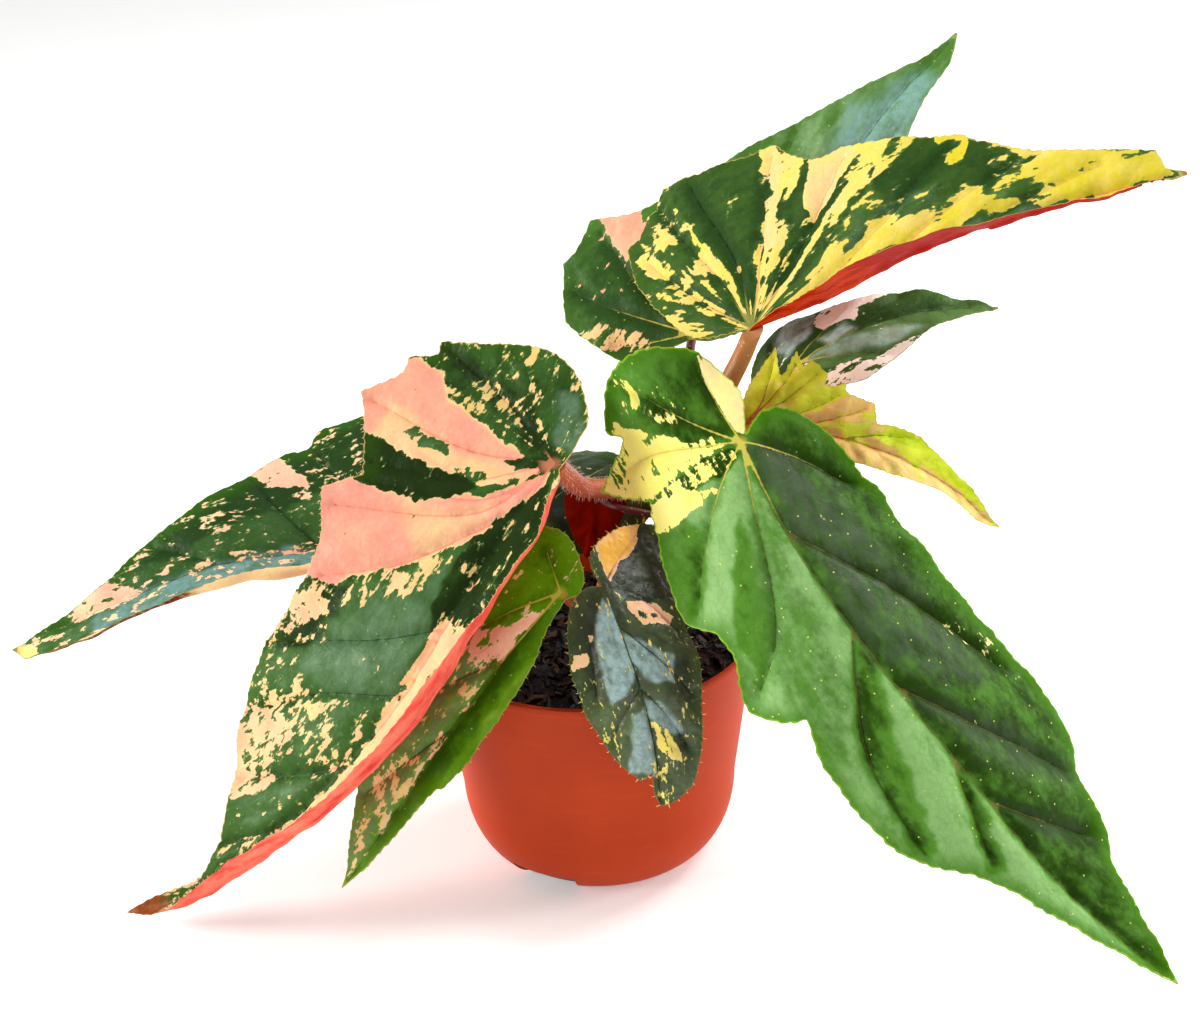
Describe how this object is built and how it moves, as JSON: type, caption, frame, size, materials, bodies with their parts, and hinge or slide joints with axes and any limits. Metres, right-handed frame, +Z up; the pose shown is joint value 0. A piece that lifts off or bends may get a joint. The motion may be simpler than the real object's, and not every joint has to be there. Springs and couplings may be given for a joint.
{
  "type": "potted begonia",
  "caption": "Variegated cane begonia with large wing-shaped leaves in a round terracotta-coloured nursery pot.",
  "frame": {"origin": "centre of the pot's flat foot, on the surface it stands on", "axes": "+X to the right in the front view, +Y away from the viewer, +Z up the pot's axis"},
  "size_m": [0.4124, 0.2329, 0.2813],
  "materials": {
    "pot": "satin terracotta-coloured plastic",
    "compost": "matt, dark brown, fibrous",
    "cane_orange": "satin orange brown",
    "cane_pink": "satin pale pink brown",
    "leaf_dark_green": "satin dark green with pale dots and a light margin",
    "leaf_pink_green": "satin, dark green with peach sectors and cream splashes",
    "leaf_speckled": "satin dark green with cream splashes",
    "leaf_yellow_green": "satin yellow and cream streaks on green, red underside",
    "leaf_very_dark": "glossy, nearly black green",
    "leaf_lime": "satin lime yellow with a peach middle",
    "leaf_blue_grey": "glossy blue grey, quilted",
    "leaf_red": "satin dark red underside"
  },
  "bodies": {
    "root": {"pot": "pot", "compost": "compost", "cane_tall": "cane_orange", "cane_short": "cane_pink", "blade_large_right": "leaf_dark_green", "blade_large_left": "leaf_pink_green", "blade_far_left": "leaf_speckled", "blade_top": "leaf_yellow_green", "blade_top_back": "leaf_dark_green", "blade_dark_back": "leaf_very_dark", "blade_young_lime": "leaf_lime", "blade_front_left": "leaf_speckled", "blade_front_centre": "leaf_blue_grey", "blade_red_underside": "leaf_red", "blade_small_grey": "leaf_blue_grey", "blade_back": "leaf_very_dark"}
  },
  "joints": []
}
